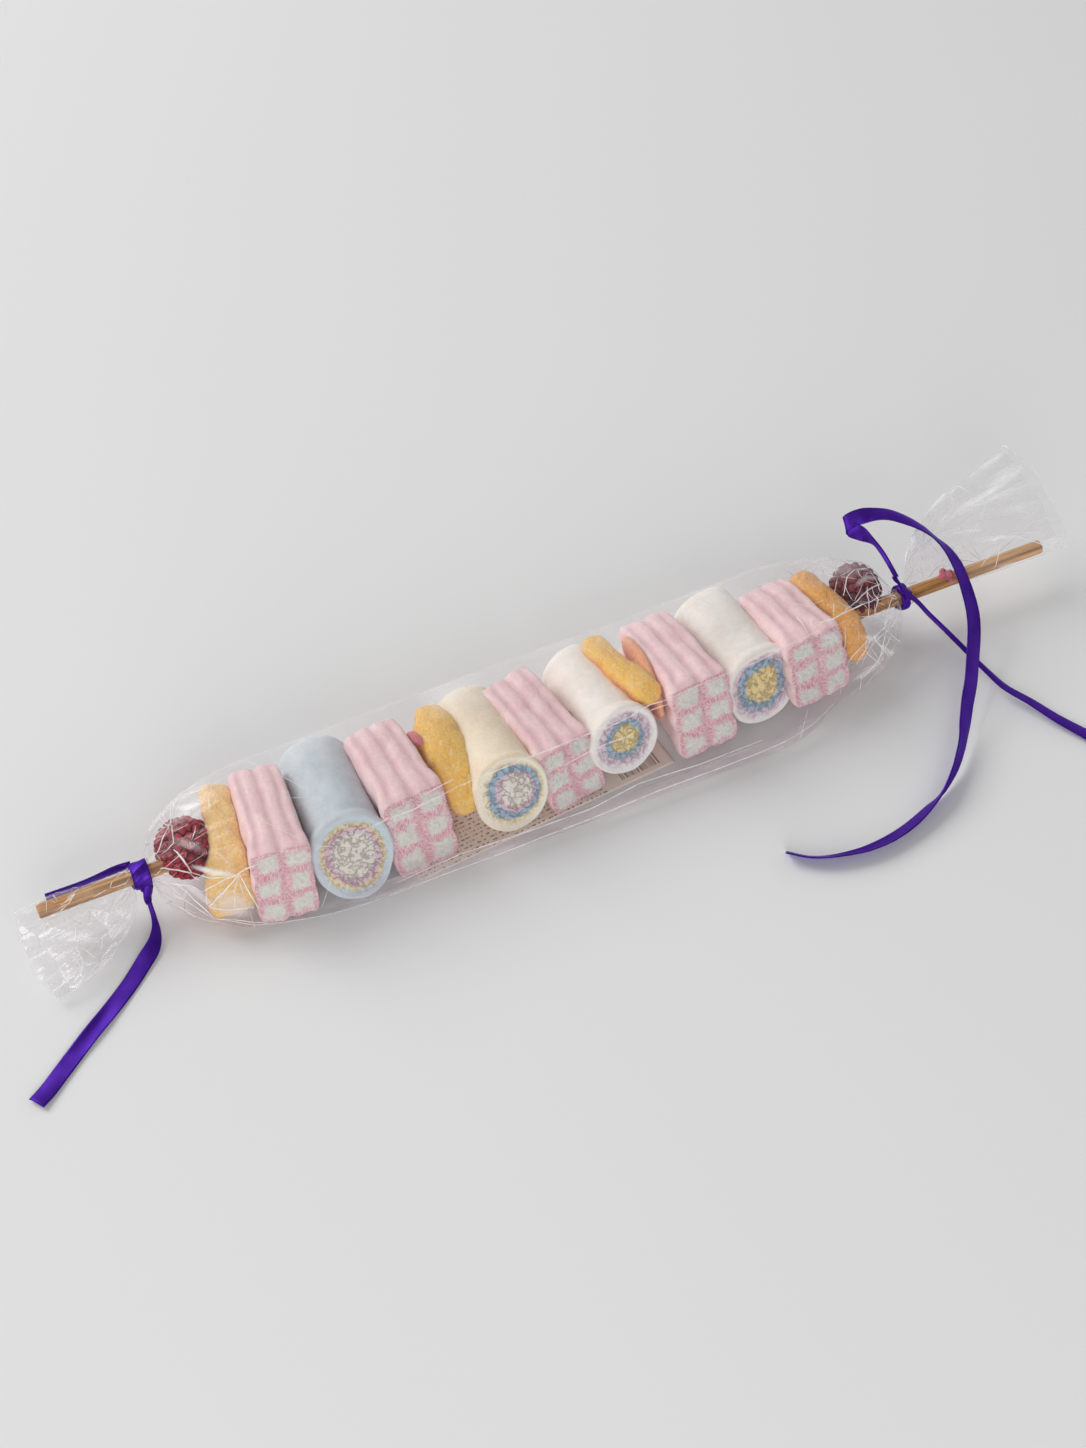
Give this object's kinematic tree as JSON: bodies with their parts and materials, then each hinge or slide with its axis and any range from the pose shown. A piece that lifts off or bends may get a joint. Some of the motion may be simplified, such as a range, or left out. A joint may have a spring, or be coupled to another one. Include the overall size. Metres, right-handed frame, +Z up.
{
  "type": "marshmallow skewer",
  "caption": "Marshmallow and fruit jelly sweets threaded on a wooden stick, in a clear film bag gathered and tied at each end with narrow purple satin ribbon.",
  "frame": {"origin": "bottom centre of the bag and stick, on the surface that the bag lies on, without the loose ribbon tails", "axes": "+X along the stick, from the end with the two short ribbon tails to the end with the ribbon loop; +Y away from the side where the sweets show their ends; +Z up"},
  "size_m": [0.4361, 0.1279, 0.0393],
  "materials": {
    "wood": "smooth unvarnished round stick with darker streaks along the grain",
    "clear_film": "thin clear crackly film, glossy, creased at the gathers",
    "paper": "plain matt paper with rows of printed marks",
    "satin": "narrow single-face satin ribbon, silky sheen",
    "marshmallow_pink": "soft matt marshmallow, slightly powdery",
    "marshmallow_white": "soft matt marshmallow, slightly powdery",
    "marshmallow_blue": "soft matt marshmallow, slightly powdery",
    "marshmallow_cream": "soft matt marshmallow, slightly powdery",
    "jelly_yellow": "soft fruit jelly, lightly sugared",
    "jelly_red": "soft fruit jelly moulded in small drupelets"
  },
  "bodies": {
    "root": {"stick": "wood", "film_bag": "clear_film", "label": "paper", "knot_left": "satin", "knot_right": "satin", "ribbon_left_long": "satin", "ribbon_left_short": "satin", "ribbon_right_loop": "satin", "ribbon_right_straight": "satin"}
  },
  "joints": []
}
